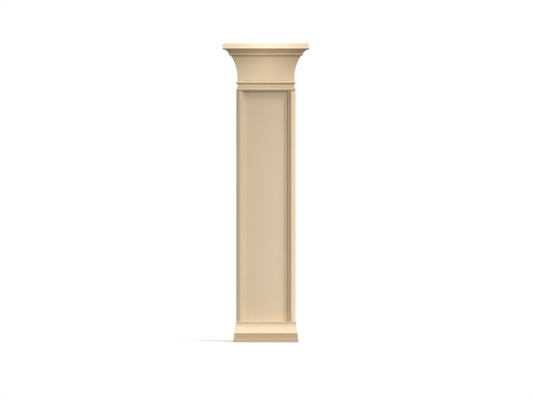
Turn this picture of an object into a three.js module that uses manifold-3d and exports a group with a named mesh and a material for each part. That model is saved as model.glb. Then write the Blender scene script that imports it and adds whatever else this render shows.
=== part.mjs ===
// A wall pilaster in three pieces that stand one on another: base, shaft and capital.
// Millimetres, +Z up, the front towards -Y. The flat backs lie in the plane y = 0, against the wall.
// The origin is on the back of the shaft, at the middle of its width and its length.
import * as THREE from "three";
import { mergeVertices } from "three/addons/utils/BufferGeometryUtils.js";
import Module from "manifold-3d";

// Shaft
const SHAFT_WIDTH = 515;
const SHAFT_LENGTH = 2000;
const PANEL_THICKNESS = 24;

// Moulding down each side of the shaft: widths inwards from the outer edge, drops towards the wall
const OUTER_ROUND_WIDTH = 33;
const OUTER_ROUND_DROP = 12; // how far the outer edge lies behind the front fillet
const OUTER_ROUND_BULGE = 1.5; // height of the round above a straight slope
const FRONT_FILLET_WIDTH = 6;
const OUTER_COVE_WIDTH = 25;
const OUTER_COVE_DROP = 20;
const OUTER_COVE_HOLLOW = 2.5; // depth of the cove below a straight slope
const RISER_WIDTH = 8;
const RISER_DROP = 21;
const INNER_COVE_WIDTH = 9;
const INNER_COVE_DROP = 3.5;
const INNER_FILLET_WIDTH = 8;
const PANEL_ROUND_WIDTH = 8;
const PANEL_ROUND_DROP = 3.5;

// Capital, from its underside up: heights, and how far each member stands out from the one below it
const SEAT_INSET = 10.5; // the underside lies this far inside the shaft's outline
const FOOT_ROUND_HEIGHT = 17;
const FOOT_ROUND_REACH = 9;
const FOOT_FILLET_HEIGHT = 13;
const FOOT_LEDGE = 9; // on top of the foot fillet, round the neck
const NECK_HEIGHT = 21.5;
const BEAD_UNDERSIDE_HEIGHT = 18;
const BEAD_REACH = 11.5;
const BEAD_NOSE_HEIGHT = 5.5;
const BEAD_TOP_HEIGHT = 11;
const BELL_FOOT_HEIGHT = 27;
const BELL_CURVE_HEIGHT = 199;
const BELL_REACH = 59.5;
const BELL_FILLET_REACH = 15;
const BELL_FILLET_HEIGHT = 17;
const ABACUS_SPLAY_HEIGHT = 36;
const ABACUS_SPLAY_REACH = 43;
const ABACUS_SPLAY_HOLLOW = 5; // depth of the hollow below a straight splay
const ABACUS_SOFFIT_REACH = 12;
const ABACUS_FACE_HEIGHT = 38;
const ABACUS_FACE_LEAN = 6; // how far the face leans back over its height
const ABACUS_ROUND_HEIGHT = 14;
const ABACUS_ROUND_REACH = 10;

// Base, from its underside up: heights, and how far each member steps in from the one below it
const PLINTH_PROJECTION = 25; // beyond the shaft's outline
const PLINTH_HEIGHT = 36;
const BAND_STEP = 6;
const BAND_HEIGHT = 45;
const SPLAY_HEIGHT = 77;
const SPLAY_REACH = 15;
const SPLAY_HOLLOW = 2; // depth of the hollow below a straight splay
const TOP_FILLET_HEIGHT = 23;

const BED_JOINT = 0.3; // between one piece and the next
const CURVE_FACETS = 10; // in each curved member
const COAT_COLOUR = 0xd7c3a5;

const SHAFT_THICKNESS =
  PANEL_THICKNESS + OUTER_COVE_DROP + RISER_DROP + INNER_COVE_DROP + PANEL_ROUND_DROP;
const QUARTER = 4 * (Math.SQRT2 - 1) / 3; // control arm of a cubic curve that draws a quarter ellipse

const wasm = await Module();
wasm.setup();

// Moves on from a path's last point by (du, dv) in a straight line.
function straight(path, du, dv) {
  const { x, y } = path.currentPoint;
  path.lineTo(x + du, y + dv);
}

// Moves on by (du, dv) along a quarter ellipse that leaves the last point along v.
function roundFromV(path, du, dv) {
  const { x, y } = path.currentPoint;
  path.bezierCurveTo(x, y + QUARTER * dv, x + (1 - QUARTER) * du, y + dv, x + du, y + dv);
}

// Moves on by (du, dv) along a quarter ellipse that leaves the last point along u.
function roundFromU(path, du, dv) {
  const { x, y } = path.currentPoint;
  path.bezierCurveTo(x + QUARTER * du, y, x + du, y + (1 - QUARTER) * dv, x + du, y + dv);
}

// Moves on by (du, dv) along a shallow curve that lies to the left of the straight line by bow.
function bowed(path, du, dv, bow) {
  const { x, y } = path.currentPoint;
  const reach = Math.hypot(du, dv);
  path.quadraticCurveTo(
    x + du / 2 - (2 * bow * dv) / reach,
    y + dv / 2 + (2 * bow * du) / reach,
    x + du,
    y + dv,
  );
}

function solidOf(geometry) {
  const bare = geometry.clone();
  bare.deleteAttribute("normal");
  bare.deleteAttribute("uv");
  const merged = mergeVertices(bare, 1e-4);
  const solid = new wasm.Mesh({
    numProp: 3,
    vertProperties: new Float32Array(merged.attributes.position.array),
    triVerts: new Uint32Array(merged.index.array),
  });
  return new wasm.Manifold(solid);
}

function geometryOf(solid) {
  const { vertProperties, triVerts } = solid.getMesh();
  const geometry = new THREE.BufferGeometry();
  geometry.setAttribute("position", new THREE.BufferAttribute(vertProperties, 3));
  geometry.setIndex(new THREE.BufferAttribute(triVerts, 1));
  geometry.computeVertexNormals();
  return geometry;
}

// A block whose profile, a path of (projection beyond the shaft's outline, height), runs round its
// front and both sides with mitred corners. The profile goes round a whole pillar that stands
// across the wall plane, and the half behind that plane is cut away.
function returnedBlock(profile) {
  const corners = [];
  const faces = [0, 2, 1, 0, 3, 2];
  const levels = profile.getPoints(CURVE_FACETS);
  levels.forEach(({ x: projection, y: height }, level) => {
    const side = SHAFT_WIDTH / 2 + projection;
    const front = SHAFT_THICKNESS + projection;
    corners.push(-side, -front, height, side, -front, height);
    corners.push(side, front, height, -side, front, height);
    if (level === 0) return;
    for (let corner = 0; corner < 4; corner += 1) {
      const here = 4 * (level - 1) + corner;
      const next = 4 * (level - 1) + ((corner + 1) % 4);
      faces.push(here, next, next + 4, here, next + 4, here + 4);
    }
  });
  const top = 4 * (levels.length - 1);
  faces.push(top, top + 1, top + 2, top, top + 2, top + 3);

  const pillar = new THREE.BufferGeometry();
  pillar.setAttribute("position", new THREE.Float32BufferAttribute(corners, 3));
  pillar.setIndex(faces);
  pillar.computeBoundingBox();
  const size = pillar.boundingBox.getSize(new THREE.Vector3());
  const wall = new THREE.BoxGeometry(2 * size.x, size.y, 3 * size.z);
  wall.translate(0, size.y / 2, 0);
  return geometryOf(solidOf(pillar).subtract(solidOf(wall)));
}

// The shaft is a straight run of one cross-section, drawn as (x, y) with the wall at y = 0.
function shaftGeometry() {
  const half = new THREE.Path();
  half.moveTo(-SHAFT_WIDTH / 2, 0);
  straight(half, 0, OUTER_ROUND_DROP - SHAFT_THICKNESS);
  bowed(half, OUTER_ROUND_WIDTH, -OUTER_ROUND_DROP, -OUTER_ROUND_BULGE);
  straight(half, FRONT_FILLET_WIDTH, 0);
  bowed(half, OUTER_COVE_WIDTH, OUTER_COVE_DROP, OUTER_COVE_HOLLOW);
  straight(half, RISER_WIDTH, RISER_DROP);
  roundFromV(half, INNER_COVE_WIDTH, INNER_COVE_DROP);
  straight(half, INNER_FILLET_WIDTH, 0);
  roundFromU(half, PANEL_ROUND_WIDTH, PANEL_ROUND_DROP);

  const left = half.getPoints(CURVE_FACETS);
  const right = left.map(({ x, y }) => new THREE.Vector2(-x, y)).reverse();
  const section = new THREE.Shape([...left, ...right]);
  const options = { depth: SHAFT_LENGTH, bevelEnabled: false };
  return new THREE.ExtrudeGeometry(section, options).translate(0, 0, -SHAFT_LENGTH / 2);
}

function capitalGeometry() {
  const profile = new THREE.Path();
  profile.moveTo(-SEAT_INSET, 0);
  roundFromU(profile, FOOT_ROUND_REACH, FOOT_ROUND_HEIGHT);
  straight(profile, 0, FOOT_FILLET_HEIGHT);
  straight(profile, -FOOT_LEDGE, 0);
  straight(profile, 0, NECK_HEIGHT);
  roundFromV(profile, BEAD_REACH, BEAD_UNDERSIDE_HEIGHT);
  straight(profile, 0, BEAD_NOSE_HEIGHT);
  roundFromV(profile, -BEAD_REACH, BEAD_TOP_HEIGHT);
  straight(profile, 0, BELL_FOOT_HEIGHT);

  // The bell is a circular arc that leaves its foot upright.
  const foot = profile.currentPoint.clone();
  const radius = (BELL_CURVE_HEIGHT ** 2 + BELL_REACH ** 2) / (2 * BELL_REACH);
  const sweep = 2 * Math.atan2(BELL_REACH, BELL_CURVE_HEIGHT);
  profile.absarc(foot.x + radius, foot.y, radius, Math.PI, Math.PI - sweep, true);

  straight(profile, BELL_FILLET_REACH, 0);
  straight(profile, 0, BELL_FILLET_HEIGHT);
  bowed(profile, ABACUS_SPLAY_REACH, ABACUS_SPLAY_HEIGHT, ABACUS_SPLAY_HOLLOW);
  straight(profile, ABACUS_SOFFIT_REACH, 0);
  straight(profile, -ABACUS_FACE_LEAN, ABACUS_FACE_HEIGHT);
  roundFromV(profile, -ABACUS_ROUND_REACH, ABACUS_ROUND_HEIGHT);
  return returnedBlock(profile);
}

function baseProfile() {
  const profile = new THREE.Path();
  profile.moveTo(PLINTH_PROJECTION, 0);
  straight(profile, 0, PLINTH_HEIGHT);
  straight(profile, -BAND_STEP, 0);
  straight(profile, 0, BAND_HEIGHT);
  bowed(profile, -SPLAY_REACH, SPLAY_HEIGHT, SPLAY_HOLLOW);
  straight(profile, 0, TOP_FILLET_HEIGHT);
  return profile;
}

function piece(name, geometry, height) {
  const coat = new THREE.MeshStandardMaterial({
    color: COAT_COLOUR,
    roughness: 0.85,
    metalness: 0,
  });
  const mesh = new THREE.Mesh(geometry, coat);
  mesh.name = name;
  mesh.position.z = height;
  return mesh;
}

const base = baseProfile();
const baseHeight = base.currentPoint.y;

const pilaster = new THREE.Group();
pilaster.add(
  piece("base", returnedBlock(base), -SHAFT_LENGTH / 2 - BED_JOINT - baseHeight),
  piece("shaft", shaftGeometry(), 0),
  piece("capital", capitalGeometry(), SHAFT_LENGTH / 2 + BED_JOINT),
);

export default pilaster;
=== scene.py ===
# A wall pilaster of coated mouldings: a base, a panelled shaft and a capital, one standing on another.
# Metres, +Z up, the front towards -Y, the flat backs against the wall plane y = 0.
import math

import bmesh
import bpy
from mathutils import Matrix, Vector


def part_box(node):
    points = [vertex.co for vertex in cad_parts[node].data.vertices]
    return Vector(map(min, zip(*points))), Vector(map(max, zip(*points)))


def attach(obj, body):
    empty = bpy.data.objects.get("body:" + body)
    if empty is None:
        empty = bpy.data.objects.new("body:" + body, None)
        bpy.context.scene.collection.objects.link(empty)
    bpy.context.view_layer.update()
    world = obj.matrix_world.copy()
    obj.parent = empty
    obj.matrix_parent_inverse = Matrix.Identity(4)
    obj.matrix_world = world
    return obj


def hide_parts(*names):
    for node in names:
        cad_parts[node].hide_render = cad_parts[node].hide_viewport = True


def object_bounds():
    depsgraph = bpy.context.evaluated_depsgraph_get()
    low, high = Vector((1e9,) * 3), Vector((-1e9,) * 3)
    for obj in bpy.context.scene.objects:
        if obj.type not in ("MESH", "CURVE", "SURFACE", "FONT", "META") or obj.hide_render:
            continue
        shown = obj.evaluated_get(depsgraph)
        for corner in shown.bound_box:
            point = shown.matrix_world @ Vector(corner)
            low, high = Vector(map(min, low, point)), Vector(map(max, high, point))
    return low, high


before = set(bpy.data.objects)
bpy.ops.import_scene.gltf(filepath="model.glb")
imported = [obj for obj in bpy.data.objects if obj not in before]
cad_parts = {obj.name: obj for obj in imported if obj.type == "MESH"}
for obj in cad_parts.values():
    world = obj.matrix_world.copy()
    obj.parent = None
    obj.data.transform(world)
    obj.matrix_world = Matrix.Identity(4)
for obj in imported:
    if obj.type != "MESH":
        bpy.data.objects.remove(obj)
frame_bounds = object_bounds()

# Camera: level and straight on to the front, from so far away that the mouldings show no perspective,
# with a long lens that brings the pilaster to its size in the picture.
CAMERA_LENS = 240
CAMERA_REACH = 200
CAMERA_DISTANCE = 30.93
CAMERA_ASIDE = 0.005
CAMERA_HEIGHT = 0.055

camera_data = bpy.data.cameras.new("straight_on")
camera_data.lens = CAMERA_LENS
camera_data.clip_end = CAMERA_REACH
camera = bpy.data.objects.new("straight_on", camera_data)
camera.location = (CAMERA_ASIDE, -CAMERA_DISTANCE, CAMERA_HEIGHT)
camera.rotation_euler = (math.radians(90), 0, 0)
bpy.context.scene.collection.objects.link(camera)
bpy.context.scene.camera = camera

# Studio light: an even white surround, soft lights from high on the right, from overhead and from the
# front, a small one for the capital, and one behind for the rear. A small pale floor lies below. Each
# soft light is given by its name, its strength, its spread and the way towards it.
SURROUND_LEVEL = 0.25
BACKDROP_COLOUR = (1, 1, 1, 1)
SOFT_LIGHTS = (
    ("high_right", 2.15, math.radians(25), (0.75, -0.55, 1.0)),
    ("overhead", 1.90, math.radians(20), (0.05, -0.2, 1.2)),
    ("front", 1.28, math.radians(50), (0.27, -1.0, 0.15)),
    ("behind", 1.5, math.radians(40), (-0.6, 1.0, 0.6)),
)
CAPITAL_LIGHT_POWER = 26.0
CAPITAL_LIGHT_CONE = math.radians(30)
CAPITAL_LIGHT_FADE = 1
CAPITAL_LIGHT_RADIUS = 0.2
CAPITAL_LIGHT_PLACE = Vector((0.25, -1.2, 1.38))
CAPITAL_LIGHT_TARGET = Vector((0, -0.1, 1.29))
FLOOR_SIZE = 1.7
FLOOR_COLOUR = (0.80, 0.79, 0.78, 1)
FLOOR_ROUGHNESS = 0.9
FLOOR_BOUNCE_COLOUR = (0.20, 0.20, 0.20, 1)

bpy.context.scene.view_settings.view_transform = "Standard"
surround = bpy.data.worlds.new("white_surround")
surround.use_nodes = True
bpy.context.scene.world = surround
surround_nodes = surround.node_tree.nodes
surround_links = surround.node_tree.links
surround_nodes.clear()
lighting = surround_nodes.new("ShaderNodeBackground")
lighting.inputs["Strength"].default_value = SURROUND_LEVEL
backdrop = surround_nodes.new("ShaderNodeBackground")
backdrop.inputs["Color"].default_value = BACKDROP_COLOUR
ray = surround_nodes.new("ShaderNodeLightPath")
lighting_or_seen = surround_nodes.new("ShaderNodeMixShader")
surround_out = surround_nodes.new("ShaderNodeOutputWorld")
surround_links.new(ray.outputs["Is Camera Ray"], lighting_or_seen.inputs[0])
surround_links.new(lighting.outputs[0], lighting_or_seen.inputs[1])
surround_links.new(backdrop.outputs[0], lighting_or_seen.inputs[2])
surround_links.new(lighting_or_seen.outputs[0], surround_out.inputs["Surface"])

for title, strength, spread, towards_light in SOFT_LIGHTS:
    light_data = bpy.data.lights.new(title, "SUN")
    light_data.energy = strength
    light_data.angle = spread
    light = bpy.data.objects.new(title, light_data)
    light.rotation_euler = Vector(towards_light).to_track_quat("Z", "Y").to_euler()
    bpy.context.scene.collection.objects.link(light)

capital_light_data = bpy.data.lights.new("capital_light", "SPOT")
capital_light_data.energy = CAPITAL_LIGHT_POWER
capital_light_data.spot_size = CAPITAL_LIGHT_CONE
capital_light_data.spot_blend = CAPITAL_LIGHT_FADE
capital_light_data.shadow_soft_size = CAPITAL_LIGHT_RADIUS
capital_light = bpy.data.objects.new("capital_light", capital_light_data)
capital_light.location = CAPITAL_LIGHT_PLACE
capital_aim = CAPITAL_LIGHT_PLACE - CAPITAL_LIGHT_TARGET
capital_light.rotation_euler = capital_aim.to_track_quat("Z", "Y").to_euler()
capital_light.visible_camera = False
bpy.context.scene.collection.objects.link(capital_light)

floor_material = bpy.data.materials.new("pale_floor")
floor_material.use_nodes = True
floor_nodes = floor_material.node_tree.nodes
floor_links = floor_material.node_tree.links
pale_floor = floor_nodes["Principled BSDF"]
pale_floor.inputs["Base Color"].default_value = FLOOR_COLOUR
pale_floor.inputs["Roughness"].default_value = FLOOR_ROUGHNESS
dim_floor = floor_nodes.new("ShaderNodeBsdfDiffuse")
dim_floor.inputs["Color"].default_value = FLOOR_BOUNCE_COLOUR
floor_ray = floor_nodes.new("ShaderNodeLightPath")
bounced_or_seen = floor_nodes.new("ShaderNodeMixShader")
floor_links.new(floor_ray.outputs["Is Camera Ray"], bounced_or_seen.inputs[0])
floor_links.new(dim_floor.outputs[0], bounced_or_seen.inputs[1])
floor_links.new(pale_floor.outputs[0], bounced_or_seen.inputs[2])
floor_links.new(bounced_or_seen.outputs[0], floor_nodes["Material Output"].inputs["Surface"])
floor_mesh = bpy.data.meshes.new("floor")
floor_reach = FLOOR_SIZE / 2
floor_height = frame_bounds[0][2]
floor_corners = [
    (across * floor_reach, away * floor_reach, floor_height)
    for across, away in ((-1, -1), (1, -1), (1, 1), (-1, 1))
]
floor_mesh.from_pydata(floor_corners, [], [(0, 1, 2, 3)])
floor_mesh.materials.append(floor_material)
floor = bpy.data.objects.new("floor", floor_mesh)
bpy.context.scene.collection.objects.link(floor)

# Base: the foot block, a foam core run through a profile cutter and coated with smooth mineral render.
# From its underside up it has a low plinth, a band, a slightly hollow splay and a fillet, returned
# round both sides, and a flat back that is glued to the wall.
MM = 0.001
SHAFT_WIDTH = 515 * MM
SHAFT_THICKNESS = 72 * MM
PLINTH_PROJECTION = 25 * MM
PLINTH_HEIGHT = 36 * MM
BAND_STEP = 6 * MM
BAND_HEIGHT = 45 * MM
SPLAY_HEIGHT = 77 * MM
SPLAY_REACH = 15 * MM
SPLAY_HOLLOW = 2 * MM
TOP_FILLET_HEIGHT = 23 * MM
CURVE_STEPS = 20


def straight(outline, du, dv):
    """Moves on from an outline's last point by (du, dv) in a straight line."""
    u, v = outline[-1]
    outline.append((u + du, v + dv))


def bowed(outline, du, dv, bow):
    """Moves on along a shallow curve that lies to the left of the straight line by bow."""
    u, v = outline[-1]
    reach = math.hypot(du, dv)
    for step in range(1, CURVE_STEPS + 1):
        share = step / CURVE_STEPS
        swell = 4 * bow * share * (1 - share) / reach
        outline.append((u + du * share - dv * swell, v + dv * share + du * swell))


# A margin of each cut face, above and below, belongs to the outline, so that it stays flat to its edge.
CUT_FACE_MARGIN = 20 * MM

base_outline = [(PLINTH_PROJECTION - CUT_FACE_MARGIN, 0)]
straight(base_outline, CUT_FACE_MARGIN, 0)
straight(base_outline, 0, PLINTH_HEIGHT)
straight(base_outline, -BAND_STEP, 0)
straight(base_outline, 0, BAND_HEIGHT)
bowed(base_outline, -SPLAY_REACH, SPLAY_HEIGHT, SPLAY_HOLLOW)
straight(base_outline, 0, TOP_FILLET_HEIGHT)
straight(base_outline, -CUT_FACE_MARGIN, 0)

# The coat rounds every corner a little. Wear shows on the outer corners and a painted shade in the
# inner ones, and the band and the edge of the step below it are painted a darker brown as well.
ARRIS_RADIUS = 1.6 * MM
CORNER_ANGLE = math.radians(16)
CORNER_STEPS = 4
CORNER_SHARE = 0.4
SUPPORT_DISTANCE = 5 * MM
SUPPORTED_LENGTH = 3 * SUPPORT_DISTANCE
U, V = 0, 1
BAND_DARKENING = 0.53
STEP_LINE = 4 * MM
STEP_EDGE_DARKENING = 1.0


def softened(outline):
    """Eases the corners of an outline whose solid lies on its left. Gives (u, v, arris, shade) points,
    where arris is 1 on an eased outer corner and the painted shade is 1 in an inner one."""
    eased = [(*outline[0], 0, 0)]
    for before, corner, after in zip(outline, outline[1:], outline[2:]):
        here = Vector(corner)
        coming = here - Vector(before)
        leaving = Vector(after) - here
        turn = math.atan2(coming.cross(leaving), coming.dot(leaving))
        if abs(turn) < CORNER_ANGLE:
            eased.append((*here, 0, 0))
            continue
        arris, painted_shade = (1, 0) if turn > 0 else (0, 1)
        room = CORNER_SHARE * min(coming.length, leaving.length)
        back_off = min(ARRIS_RADIUS * math.tan(abs(turn) / 2), room)
        start = here - coming.normalized() * back_off
        end = here + leaving.normalized() * back_off
        if coming.length > SUPPORTED_LENGTH:
            eased.append((*(here - coming.normalized() * SUPPORT_DISTANCE), 0, 0))
        for step in range(CORNER_STEPS + 1):
            share = step / CORNER_STEPS
            point = start.lerp(here, share).lerp(here.lerp(end, share), share)
            eased.append((*point, arris, painted_shade))
        if leaving.length > SUPPORTED_LENGTH:
            eased.append((*(here + leaving.normalized() * SUPPORT_DISTANCE), 0, 0))
    eased.append((*outline[-1], 0, 0))
    return eased


def with_painted_shade(points, axis, low, high, amount):
    """Adds an amount of painted shade, a darker brown, to the eased points between low and high along U
    or V.
    """
    return [
        (u, v, arris, max(painted_shade, amount) if low < (u, v)[axis] < high else painted_shade)
        for u, v, arris, painted_shade in points
    ]


band_top = PLINTH_HEIGHT + BAND_HEIGHT
step_foot = PLINTH_HEIGHT - STEP_LINE
base_levels = with_painted_shade(softened(base_outline), V, PLINTH_HEIGHT, band_top, BAND_DARKENING)
base_levels = with_painted_shade(base_levels, V, step_foot, PLINTH_HEIGHT, STEP_EDGE_DARKENING)

# The block itself: its outline runs round the left side, the front and the right side.
MITRE_RADIUS = 2.0 * MM
SMOOTH_ANGLE = math.radians(40)


def mitred_plan(projection):
    """The outline of a returned block seen from above, from its back left corner round the front
    to its back right one, as (x, y, arris) points with eased mitres."""
    side = SHAFT_WIDTH / 2 + projection
    front = SHAFT_THICKNESS + projection
    margin = MITRE_RADIUS + SUPPORT_DISTANCE
    left = [(-side, 0, 0), (-side, margin - front, 0)]
    for step in range(CORNER_STEPS + 1):
        angle = math.pi / 2 * step / CORNER_STEPS
        x = MITRE_RADIUS * (1 - math.cos(angle)) - side
        y = MITRE_RADIUS * (1 - math.sin(angle)) - front
        left.append((x, y, 1))
    left.append((margin - side, -front, 0))
    return left + [(-x, y, arris) for x, y, arris in reversed(left)]


def skinned(title, rings, arrises, painted_shades):
    """A closed object from rings of points that run round its front, each ring one step further on.
    The last point of a ring joins its first across the flat back."""
    mesh = bpy.data.meshes.new(title)
    around = len(rings[0])
    corners = [point for ring in rings for point in ring]
    left_edge = list(range(0, len(corners), around))
    right_edge = [corner + around - 1 for corner in left_edge]
    faces = [
        (here, here + 1, here + around + 1, here + around)
        for start in left_edge[:-1]
        for here in range(start, start + around - 1)
    ]
    faces.append(left_edge + right_edge[::-1])
    faces.append(list(range(around))[::-1])
    faces.append(list(range(left_edge[-1], len(corners))))
    mesh.from_pydata(corners, [], faces)

    shell = bmesh.new()
    shell.from_mesh(mesh)
    bmesh.ops.recalc_face_normals(shell, faces=shell.faces)
    shell.to_mesh(mesh)
    shell.free()
    mesh.shade_smooth()
    mesh.set_sharp_from_angle(angle=SMOOTH_ANGLE)
    for label, weights in (("arris", arrises), ("hollow", painted_shades)):
        layer = mesh.attributes.new(label, "FLOAT", "POINT")
        layer.data.foreach_set("value", weights)
    skin = bpy.data.objects.new(title, mesh)
    bpy.context.scene.collection.objects.link(skin)
    return skin


def returned_block(title, levels, foot_height):
    """A block whose eased outline, as (projection beyond the shaft, height, arris, painted shade)
    levels, runs round three sides."""
    rings, arrises, painted_shades = [], [], []
    for projection, height, arris, painted_shade in levels:
        plan = mitred_plan(projection)
        rings.append([(x, y, foot_height + height) for x, y, _ in plan])
        arrises += [max(arris, mitre) for _, _, mitre in plan]
        painted_shades += [painted_shade] * len(plan)
    return skinned(title, rings, arrises, painted_shades)


base = returned_block("moulded_base", base_levels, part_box("base")[0].z)

# The coat: matt mineral render. Its effects, mottling with a painted side light, grain, wear, and
# painted shade and light, are node groups that every piece's own coat uses. A noise is given by its
# detail and its roughness.
COAT_COLOUR = (0.68, 0.545, 0.376, 1)
# The base's coat is painted darker than the shaft's, as shade on it.
BASE_SHADED_COLOUR = (0.62, 0.48, 0.325, 1)
COAT_ROUGHNESS = 0.86
ROUGHNESS_CHANGE = 0.06
COAT_GLOSS = 0.25
PATCH_NOISE = (4, 0.6)
NOISE_MIDDLE = 0.5


def effect(title, inputs, outputs):
    """An empty shader node group with named inputs, as (label, kind, value), and outputs."""
    group = bpy.data.node_groups.new(title, "ShaderNodeTree")
    for label, kind, value in inputs:
        socket = group.interface.new_socket(name=label, in_out="INPUT", socket_type=kind)
        socket.default_value = value
    for label, kind in outputs:
        group.interface.new_socket(name=label, in_out="OUTPUT", socket_type=kind)
    return group, group.nodes.new("NodeGroupInput"), group.nodes.new("NodeGroupOutput")


def calculated(group, operation, *values):
    """A Math node, whose inputs are plain numbers or other nodes' outputs."""
    node = group.nodes.new("ShaderNodeMath")
    node.operation = operation
    for socket, value in zip(node.inputs, values):
        if isinstance(value, (int, float)):
            socket.default_value = value
        else:
            group.links.new(value, socket)
    return node.outputs[0]


def noise(group, size, detail, roughness, offset=0.0):
    """A noise pattern of a size in the object's own metres, moved aside by offset."""
    place = group.nodes.new("ShaderNodeTexCoord")
    moved = group.nodes.new("ShaderNodeVectorMath")
    moved.operation = "ADD"
    pattern = group.nodes.new("ShaderNodeTexNoise")
    pattern.inputs["Detail"].default_value = detail
    pattern.inputs["Roughness"].default_value = roughness
    group.links.new(place.outputs["Object"], moved.inputs[0])
    if isinstance(offset, (int, float)):
        moved.inputs[1].default_value = (offset, offset, offset)
    else:
        group.links.new(offset, moved.inputs[1])
    group.links.new(moved.outputs[0], pattern.inputs["Vector"])
    group.links.new(calculated(group, "DIVIDE", 1.0, size), pattern.inputs["Scale"])
    return pattern.outputs["Fac"]


def shaded(group, colour, shade):
    """A colour made lighter or darker by a factor."""
    node = group.nodes.new("ShaderNodeVectorMath")
    node.operation = "SCALE"
    group.links.new(colour, node.inputs[0])
    group.links.new(shade, node.inputs["Scale"])
    return node.outputs[0]


# Mottling: the broad, faint unevenness of a coat put on by hand, and a painted side light: a change of
# tone per metre from left to right, which on the shaft makes the left darker and the right lighter.
MOTTLING, given, result = effect(
    "coat_mottling",
    [
        ("Color", "NodeSocketColor", COAT_COLOUR),
        ("Patch Size", "NodeSocketFloat", 0.25),
        ("Strength", "NodeSocketFloat", 0.04),
        ("Painted Side Light", "NodeSocketFloat", 0.0),
        ("Place", "NodeSocketFloat", 0.0),
    ],
    [("Color", "NodeSocketColor"), ("Roughness", "NodeSocketFloat")],
)
patches = noise(MOTTLING, given.outputs["Patch Size"], *PATCH_NOISE, given.outputs["Place"])
uneven = calculated(MOTTLING, "SUBTRACT", patches, NOISE_MIDDLE)
uneven = calculated(MOTTLING, "DIVIDE", uneven, NOISE_MIDDLE)
across = MOTTLING.nodes.new("ShaderNodeSeparateXYZ")
MOTTLING.links.new(MOTTLING.nodes.new("ShaderNodeTexCoord").outputs["Object"], across.inputs[0])
side_lit = calculated(MOTTLING, "MULTIPLY_ADD", across.outputs["X"], given.outputs["Painted Side Light"], 1.0)
shade = calculated(MOTTLING, "MULTIPLY_ADD", uneven, given.outputs["Strength"], side_lit)
MOTTLING.links.new(shaded(MOTTLING, given.outputs["Color"], shade), result.inputs["Color"])
coat_roughness = calculated(MOTTLING, "MULTIPLY_ADD", uneven, ROUGHNESS_CHANGE, COAT_ROUGHNESS)
MOTTLING.links.new(coat_roughness, result.inputs["Roughness"])

# Sandy grain: the fine mineral sand in the coat, as a height and as faint specks, and under it the
# broader marks of the brush.
GRAIN_SIZE = 1.5 * MM
GRAIN_HEIGHT = 0.4 * MM
GRAIN_STRENGTH = 0.35
GRAIN_NOISE = (3, 0.65)
BRUSH_MARK_SIZE = 18 * MM
BRUSH_MARK_SHARE = 0.5
BRUSH_NOISE = (2, 0.5)
GRAIN, given, result = effect(
    "sandy_grain",
    [
        ("Color", "NodeSocketColor", COAT_COLOUR),
        ("Grain Size", "NodeSocketFloat", GRAIN_SIZE),
        ("Speck Strength", "NodeSocketFloat", 0.05),
        ("Place", "NodeSocketFloat", 0.0),
    ],
    [("Color", "NodeSocketColor"), ("Height", "NodeSocketFloat")],
)
sand = noise(GRAIN, given.outputs["Grain Size"], *GRAIN_NOISE, given.outputs["Place"])
brushing = noise(GRAIN, BRUSH_MARK_SIZE, *BRUSH_NOISE, given.outputs["Place"])
speck = calculated(GRAIN, "SUBTRACT", sand, NOISE_MIDDLE)
speck_shade = calculated(GRAIN, "MULTIPLY_ADD", speck, given.outputs["Speck Strength"], 1.0)
GRAIN.links.new(shaded(GRAIN, given.outputs["Color"], speck_shade), result.inputs["Color"])
grain_height = calculated(GRAIN, "MULTIPLY_ADD", brushing, BRUSH_MARK_SHARE, sand)
GRAIN.links.new(grain_height, result.inputs["Height"])

# Arris wear: the coat is thinner and paler along its outer corners.
WORN_COLOUR = (0.80, 0.70, 0.55, 1)
WORN_PATCH_SIZE = 30 * MM
WORN_PATCH_CONTRAST = 1.6
WORN_NOISE = (3, 0.6)
WEAR, given, result = effect(
    "arris_wear",
    [
        ("Color", "NodeSocketColor", COAT_COLOUR),
        ("Worn Color", "NodeSocketColor", WORN_COLOUR),
        ("Amount", "NodeSocketFloat", 0.5),
    ],
    [("Color", "NodeSocketColor")],
)


def painted(group, label):
    """The weights that a piece's mesh carries under a label."""
    node = group.nodes.new("ShaderNodeAttribute")
    node.attribute_name = label
    return node.outputs["Fac"]


def blended(group, factor, first, second):
    """A colour mix, from nodes' outputs."""
    node = group.nodes.new("ShaderNodeMix")
    node.data_type = "RGBA"
    group.links.new(factor, node.inputs["Factor"])
    group.links.new(first, node.inputs["A"])
    group.links.new(second, node.inputs["B"])
    return node.outputs["Result"]


worn_patches = noise(WEAR, WORN_PATCH_SIZE, *WORN_NOISE)
patchy = calculated(WEAR, "MULTIPLY", worn_patches, WORN_PATCH_CONTRAST)
worn = calculated(WEAR, "MULTIPLY", painted(WEAR, "arris"), given.outputs["Amount"])
worn = calculated(WEAR, "MULTIPLY", worn, patchy)
worn_colour = blended(WEAR, worn, given.outputs["Color"], given.outputs["Worn Color"])
WEAR.links.new(worn_colour, result.inputs["Color"])

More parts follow.
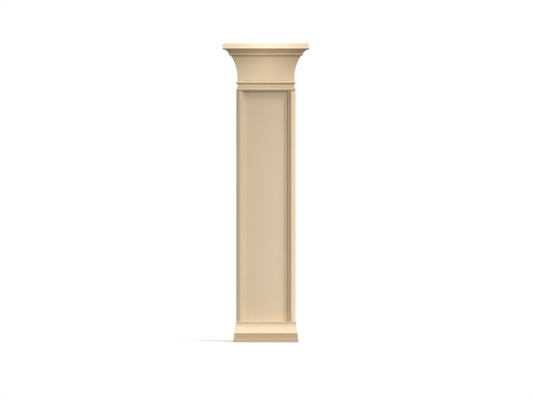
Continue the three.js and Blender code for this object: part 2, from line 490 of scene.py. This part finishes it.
# Painted shade and light: a brown painted shade in the inner corners and under the overhangs, the same
# brown on the bands that each piece marks, none of it on the hidden back, and a pale painted light,
# coloured like dust, on every face that leans back but isn't level. Each range is of the surface normal,
# from where the effect starts to where it is full.
SHADE_COLOUR = (0.46, 0.32, 0.17, 1)
PAINTED_LIGHT_COLOUR = (0.86, 0.71, 0.47, 1)
PAINTED_LIGHT_SLOPES = (0.02, 0.16)
LESS_THAN_LEVEL = (0.9, 0.5)
SHADED_UNDERSIDES = (-0.3, -0.75)
OFF_THE_BACK = (0.9, 0.5)
DRIFT_SIZE = 60 * MM
DRIFT_NOISE = (3, 0.6)
DRIFT_PLACE = 3.0
DRIFT_LEAST = 0.6
DRIFT_CHANGE = 0.8
PAINTED_SHADE_AND_LIGHT, given, result = effect(
    "painted_shade_and_light",
    [
        ("Color", "NodeSocketColor", COAT_COLOUR),
        ("Shade Color", "NodeSocketColor", SHADE_COLOUR),
        ("Painted Light Color", "NodeSocketColor", PAINTED_LIGHT_COLOUR),
        ("Shade In Corners", "NodeSocketFloat", 0.4),
        ("Shade Under Ledges", "NodeSocketFloat", 0.3),
        ("Painted Light On Slopes", "NodeSocketFloat", 0.4),
    ],
    [("Color", "NodeSocketColor")],
)


def ramped(group, value, start, end):
    """0 where value is at start, 1 where it is at end, and clamped outside them."""
    node = group.nodes.new("ShaderNodeMapRange")
    node.inputs["From Min"].default_value = start
    node.inputs["From Max"].default_value = end
    group.links.new(value, node.inputs["Value"])
    return node.outputs["Result"]


surface = PAINTED_SHADE_AND_LIGHT.nodes.new("ShaderNodeNewGeometry")
facing = PAINTED_SHADE_AND_LIGHT.nodes.new("ShaderNodeSeparateXYZ")
PAINTED_SHADE_AND_LIGHT.links.new(surface.outputs["Normal"], facing.inputs[0])
drift_pattern = noise(PAINTED_SHADE_AND_LIGHT, DRIFT_SIZE, *DRIFT_NOISE, DRIFT_PLACE)
drifts = calculated(PAINTED_SHADE_AND_LIGHT, "MULTIPLY_ADD", drift_pattern, DRIFT_CHANGE, DRIFT_LEAST)
# A pale painted light, coloured like dust, on the faces that lean back.
leaning_back = ramped(PAINTED_SHADE_AND_LIGHT, facing.outputs["Z"], *PAINTED_LIGHT_SLOPES)
not_level = ramped(PAINTED_SHADE_AND_LIGHT, facing.outputs["Z"], *LESS_THAN_LEVEL)
painted_light = calculated(PAINTED_SHADE_AND_LIGHT, "MULTIPLY", leaning_back, given.outputs["Painted Light On Slopes"])
painted_light = calculated(PAINTED_SHADE_AND_LIGHT, "MULTIPLY", painted_light, not_level)
painted_light = calculated(PAINTED_SHADE_AND_LIGHT, "MULTIPLY", painted_light, drifts)
lit_colour = blended(PAINTED_SHADE_AND_LIGHT, painted_light, given.outputs["Color"], given.outputs["Painted Light Color"])
# A brown painted shade under the overhangs and in the marked corners.
facing_down = ramped(PAINTED_SHADE_AND_LIGHT, facing.outputs["Z"], *SHADED_UNDERSIDES)
under = calculated(PAINTED_SHADE_AND_LIGHT, "MULTIPLY", facing_down, given.outputs["Shade Under Ledges"])
off_the_back = ramped(PAINTED_SHADE_AND_LIGHT, facing.outputs["Y"], *OFF_THE_BACK)
corner_shade = painted(PAINTED_SHADE_AND_LIGHT, "hollow")
in_corners = calculated(PAINTED_SHADE_AND_LIGHT, "MULTIPLY", corner_shade, given.outputs["Shade In Corners"])
in_corners = calculated(PAINTED_SHADE_AND_LIGHT, "MULTIPLY", in_corners, off_the_back)
darkening = calculated(PAINTED_SHADE_AND_LIGHT, "MAXIMUM", under, in_corners)
darkening = calculated(PAINTED_SHADE_AND_LIGHT, "MULTIPLY", darkening, drifts)
darkened = blended(PAINTED_SHADE_AND_LIGHT, darkening, lit_colour, given.outputs["Shade Color"])
PAINTED_SHADE_AND_LIGHT.links.new(darkened, result.inputs["Color"])


def placed(material, group, colour, values):
    """Puts an effect group in a material, fed with a colour from the node before it."""
    node = material.node_tree.nodes.new("ShaderNodeGroup")
    node.node_tree = group
    for label, value in values.items():
        node.inputs[label].default_value = value
    if colour is not None:
        material.node_tree.links.new(colour, node.inputs["Color"])
    return node


def mineral_coat(title, colour, uneven, wear, shade_and_light):
    """Matt beige mineral render on one piece, with its own unevenness, wear, and painted shade and
    light.
    """
    material = bpy.data.materials.new(title)
    material.use_nodes = True
    links = material.node_tree.links
    coat = material.node_tree.nodes["Principled BSDF"]
    coat.inputs["Specular IOR Level"].default_value = COAT_GLOSS
    patches = placed(material, MOTTLING, None, {"Color": colour, **uneven})
    grain = placed(material, GRAIN, patches.outputs["Color"], {"Place": uneven["Place"]})
    arrises = placed(material, WEAR, grain.outputs["Color"], {"Amount": wear})
    shaded_and_lit = placed(material, PAINTED_SHADE_AND_LIGHT, arrises.outputs["Color"], shade_and_light)
    bump = material.node_tree.nodes.new("ShaderNodeBump")
    bump.inputs["Strength"].default_value = GRAIN_STRENGTH
    bump.inputs["Distance"].default_value = GRAIN_HEIGHT
    links.new(grain.outputs["Height"], bump.inputs["Height"])
    links.new(shaded_and_lit.outputs["Color"], coat.inputs["Base Color"])
    links.new(patches.outputs["Roughness"], coat.inputs["Roughness"])
    links.new(bump.outputs["Normal"], coat.inputs["Normal"])
    return material


def dressed(piece, material, node):
    """Gives a piece its coat and puts it in the place of the plain solid."""
    piece.data.materials.append(material)
    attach(piece, "root")
    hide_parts(node)


base_uneven = {"Patch Size": 0.22, "Strength": 0.035, "Place": 7.3}
base_shade_and_light = {"Shade In Corners": 0.75, "Shade Under Ledges": 0.3, "Painted Light On Slopes": 0.85}
base_coat = mineral_coat("base_coat", BASE_SHADED_COLOUR, base_uneven, wear=0.2, shade_and_light=base_shade_and_light)
dressed(base, base_coat, "base")

# Shaft: one flat board of the same coated foam, cut square at both ends and glued to the wall. A run
# moulding stands along each side, and the flat panel lies back between the two.
OUTER_ROUND_WIDTH = 33 * MM
OUTER_ROUND_DROP = 12 * MM
OUTER_ROUND_BULGE = 1.5 * MM
FRONT_FILLET_WIDTH = 6 * MM
OUTER_COVE_WIDTH = 25 * MM
OUTER_COVE_DROP = 20 * MM
OUTER_COVE_HOLLOW = 2.5 * MM
RISER_WIDTH = 8 * MM
RISER_DROP = 21 * MM
INNER_COVE_WIDTH = 9 * MM
INNER_COVE_DROP = 3.5 * MM
INNER_FILLET_WIDTH = 8 * MM
PANEL_ROUND_WIDTH = 8 * MM
PANEL_ROUND_DROP = 3.5 * MM
# The outer cove is painted a little darker, as shade.
COVE_SHADE = 0.3


def round_from_v(outline, du, dv):
    """Moves on along a quarter ellipse that leaves the last point along v."""
    u, v = outline[-1]
    for step in range(1, CURVE_STEPS + 1):
        angle = math.pi / 2 * step / CURVE_STEPS
        outline.append((u + du * (1 - math.cos(angle)), v + dv * math.sin(angle)))


def round_from_u(outline, du, dv):
    """Moves on along a quarter ellipse that leaves the last point along u."""
    u, v = outline[-1]
    for step in range(1, CURVE_STEPS + 1):
        angle = math.pi / 2 * step / CURVE_STEPS
        outline.append((u + du * math.sin(angle), v + dv * (1 - math.cos(angle))))


half_section = [(-SHAFT_WIDTH / 2, 0)]
straight(half_section, 0, OUTER_ROUND_DROP - SHAFT_THICKNESS)
bowed(half_section, OUTER_ROUND_WIDTH, -OUTER_ROUND_DROP, -OUTER_ROUND_BULGE)
straight(half_section, FRONT_FILLET_WIDTH, 0)
cove_start = half_section[-1][U]
bowed(half_section, OUTER_COVE_WIDTH, OUTER_COVE_DROP, OUTER_COVE_HOLLOW)
cove_end = half_section[-1][U]
straight(half_section, RISER_WIDTH, RISER_DROP)
round_from_v(half_section, INNER_COVE_WIDTH, INNER_COVE_DROP)
straight(half_section, INNER_FILLET_WIDTH, 0)
round_from_u(half_section, PANEL_ROUND_WIDTH, PANEL_ROUND_DROP)
straight(half_section, SUPPORT_DISTANCE, 0)
left_half = with_painted_shade(softened(half_section), U, cove_start, cove_end, COVE_SHADE)
right_half = [(-x, y, arris, painted_shade) for x, y, arris, painted_shade in reversed(left_half)]
section = left_half + right_half

shaft_low, shaft_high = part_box("shaft")
shaft_rings, shaft_arrises, shaft_painted_shades = [], [], []
for height, cut_edge in (
    (shaft_low.z, 1),
    (shaft_low.z + SUPPORT_DISTANCE, 0),
    (shaft_high.z - SUPPORT_DISTANCE, 0),
    (shaft_high.z, 1),
):
    shaft_rings.append([(x, y, height) for x, y, _, _ in section])
    shaft_arrises += [max(cut_edge, arris) for _, _, arris, _ in section]
    shaft_painted_shades += [painted_shade for _, _, _, painted_shade in section]
shaft = skinned("moulded_shaft", shaft_rings, shaft_arrises, shaft_painted_shades)
# The shaft's coat is painted darker on its left and lighter on its right, as light from the right.
shaft_uneven = {"Patch Size": 0.45, "Strength": 0.03, "Painted Side Light": 0.45, "Place": 2.1}
shaft_shade_and_light = {"Shade In Corners": 0.8, "Shade Under Ledges": 0.3, "Painted Light On Slopes": 0.3}
shaft_coat = mineral_coat("shaft_coat", COAT_COLOUR, shaft_uneven, wear=0.3, shade_and_light=shaft_shade_and_light)
dressed(shaft, shaft_coat, "shaft")

# Capital: the head block, cut and coated like the base and glued to the wall on top of the shaft. It
# has a foot round and fillet, a plain neck, a bead, a tall hollow bell and a fillet, a hollow splay and
# an abacus that leans back a little, all returned round both sides.
SEAT_INSET = 10.5 * MM
FOOT_ROUND_HEIGHT = 17 * MM
FOOT_ROUND_REACH = 9 * MM
FOOT_FILLET_HEIGHT = 13 * MM
FOOT_LEDGE = 9 * MM
NECK_HEIGHT = 21.5 * MM
BEAD_UNDERSIDE_HEIGHT = 18 * MM
BEAD_REACH = 11.5 * MM
BEAD_NOSE_HEIGHT = 5.5 * MM
BEAD_TOP_HEIGHT = 11 * MM
BELL_FOOT_HEIGHT = 27 * MM
BELL_CURVE_HEIGHT = 199 * MM
BELL_REACH = 59.5 * MM
BELL_STEPS = 48
BELL_FILLET_REACH = 15 * MM
BELL_FILLET_HEIGHT = 17 * MM
ABACUS_SPLAY_HEIGHT = 36 * MM
ABACUS_SPLAY_REACH = 43 * MM
ABACUS_SPLAY_HOLLOW = 5 * MM
ABACUS_SOFFIT_REACH = 12 * MM
ABACUS_FACE_HEIGHT = 38 * MM
ABACUS_FACE_LEAN = 6 * MM
ABACUS_ROUND_HEIGHT = 14 * MM
ABACUS_ROUND_REACH = 10 * MM


def belled(outline, du, dv):
    """Moves on along the bell's circular arc, which leaves the last point along v."""
    u, v = outline[-1]
    radius = (dv**2 + du**2) / (2 * du)
    sweep = 2 * math.atan2(du, dv)
    for step in range(1, BELL_STEPS + 1):
        angle = sweep * step / BELL_STEPS
        outline.append((u + radius * (1 - math.cos(angle)), v + radius * math.sin(angle)))


capital_outline = [(-SEAT_INSET - CUT_FACE_MARGIN, 0)]
straight(capital_outline, CUT_FACE_MARGIN, 0)
round_from_u(capital_outline, FOOT_ROUND_REACH, FOOT_ROUND_HEIGHT)
straight(capital_outline, 0, FOOT_FILLET_HEIGHT)
straight(capital_outline, -FOOT_LEDGE, 0)
neck_foot = capital_outline[-1][V]
straight(capital_outline, 0, NECK_HEIGHT)
neck_top = capital_outline[-1][V]
round_from_v(capital_outline, BEAD_REACH, BEAD_UNDERSIDE_HEIGHT)
bead_edge = capital_outline[-1][V]
straight(capital_outline, 0, BEAD_NOSE_HEIGHT)
round_from_v(capital_outline, -BEAD_REACH, BEAD_TOP_HEIGHT)
straight(capital_outline, 0, BELL_FOOT_HEIGHT)
belled(capital_outline, BELL_REACH, BELL_CURVE_HEIGHT)
bell_top = capital_outline[-1][V]
straight(capital_outline, BELL_FILLET_REACH, 0)
straight(capital_outline, 0, BELL_FILLET_HEIGHT)
fillet_top = capital_outline[-1][V]
bowed(capital_outline, ABACUS_SPLAY_REACH, ABACUS_SPLAY_HEIGHT, ABACUS_SPLAY_HOLLOW)
straight(capital_outline, ABACUS_SOFFIT_REACH, 0)
straight(capital_outline, -ABACUS_FACE_LEAN, ABACUS_FACE_HEIGHT)
round_from_v(capital_outline, -ABACUS_ROUND_REACH, ABACUS_ROUND_HEIGHT)
straight(capital_outline, -CUT_FACE_MARGIN, 0)

# A painted shade darkens it under the foot, the bead, the bell's fillet and the abacus, and thinly on
# the neck and on the fillet itself.
FOOT_SHADE = 0.7
NECK_SHADE = 0.35
FILLET_SHADE = 0.5
LEDGE_SHADE = 0.9
BEAD_LINE = 11 * MM
BELL_LINE = 15 * MM
SPLAY_LINE = 16 * MM
# The capital's coat is painted lighter and warmer than the shaft's, as light, and the painted light on
# its faces that lean back is paler and greyer than on the other pieces.
CAPITAL_LIT_COLOUR = (0.74, 0.578, 0.385, 1)
ABACUS_LIGHT_COLOUR = (0.77, 0.69, 0.61, 1)

capital_levels = softened(capital_outline)
for low, high, amount in (
    (0, FOOT_ROUND_HEIGHT, FOOT_SHADE),
    (neck_foot, neck_top, NECK_SHADE),
    (bead_edge - BEAD_LINE, bead_edge + BEAD_NOSE_HEIGHT / 2, LEDGE_SHADE),
    (bell_top - BELL_LINE, bell_top, LEDGE_SHADE),
    (bell_top, fillet_top, FILLET_SHADE),
    (fillet_top, fillet_top + SPLAY_LINE, LEDGE_SHADE),
):
    capital_levels = with_painted_shade(capital_levels, V, low, high, amount)
capital = returned_block("moulded_capital", capital_levels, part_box("capital")[0].z)
capital_uneven = {"Patch Size": 0.22, "Strength": 0.035, "Place": 11.7}
capital_shade_and_light = {
    "Painted Light Color": ABACUS_LIGHT_COLOUR,
    "Shade In Corners": 1.0,
    "Shade Under Ledges": 0.65,
    "Painted Light On Slopes": 0.5,
}
capital_coat = mineral_coat(
    "capital_coat", CAPITAL_LIT_COLOUR, capital_uneven, wear=0.2, shade_and_light=capital_shade_and_light
)
dressed(capital, capital_coat, "capital")

bpy.context.view_layer.update()
